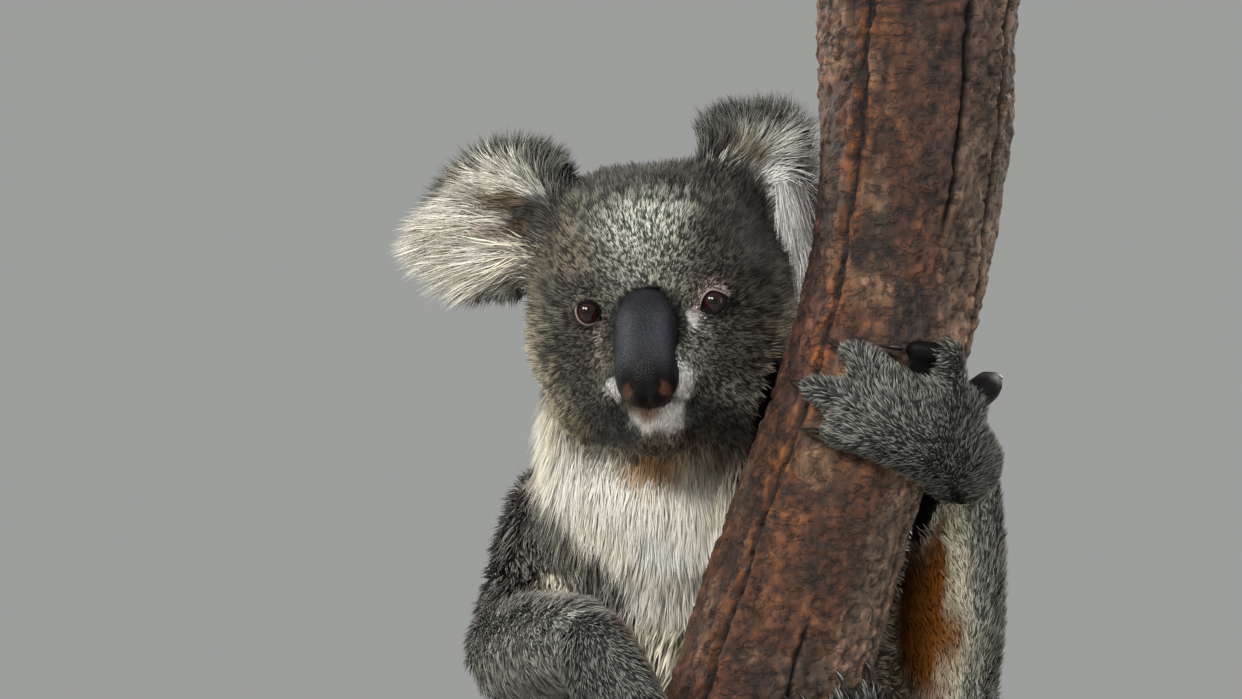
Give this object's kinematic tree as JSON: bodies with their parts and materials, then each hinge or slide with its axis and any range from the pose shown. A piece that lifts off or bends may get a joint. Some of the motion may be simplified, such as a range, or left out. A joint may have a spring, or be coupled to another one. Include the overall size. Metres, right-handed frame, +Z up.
{
  "type": "koala clinging to a cut length of trunk",
  "caption": "Life-size still model of a small adult koala hugging a leaning cut trunk, turned to face the viewer, on a plain round display stand.",
  "frame": {"origin": "centre of the flat underside of the stand's round base", "axes": "+Z up along the trunk, -Y the way that the koala's face looks, +X the koala's own left"},
  "size_m": [0.344, 0.344, 0.712],
  "materials": {
    "coat": "dense grey woolly fur with pale tips",
    "pale_coat": "cream throat and chest fur",
    "ear_coat": "long white ear fringe over grey fur",
    "nose_skin": "finely pebbled matt black nose skin",
    "eye": "wet brown eye",
    "claw": "dark horn",
    "bark": "cracked red-brown bark",
    "stand_wood": "dark stained timber, satin lacquer",
    "stand_steel": "brushed steel"
  },
  "bodies": {
    "root": {"claw_foot_left_1": "claw", "claw_foot_left_2": "claw", "claw_foot_left_3": "claw", "claw_foot_left_4": "claw", "claw_foot_right_1": "claw", "claw_foot_right_2": "claw", "claw_foot_right_3": "claw", "claw_foot_right_4": "claw", "claw_hand_left_1": "claw", "claw_hand_left_2": "claw", "claw_hand_left_3": "claw", "claw_hand_left_4": "claw", "claw_hand_left_5": "claw", "claw_hand_right_1": "claw", "claw_hand_right_2": "claw", "claw_hand_right_3": "claw", "claw_hand_right_4": "claw", "claw_hand_right_5": "claw", "ear_left": "ear_coat", "ear_right": "ear_coat", "eye_left": "eye", "eye_right": "eye", "foot_left": "coat", "foot_right": "coat", "forearm_left": "coat", "forearm_right": "coat", "hand_left": "coat", "hand_right": "coat", "head": "coat", "neck": "pale_coat", "nose": "nose_skin", "perch": "bark", "shank_left": "coat", "shank_right": "coat", "stand_base": "stand_wood", "stand_rod": "stand_steel", "thigh_left": "coat", "thigh_right": "coat", "torso": "coat", "upper_arm_left": "coat", "upper_arm_right": "coat"}
  },
  "joints": []
}
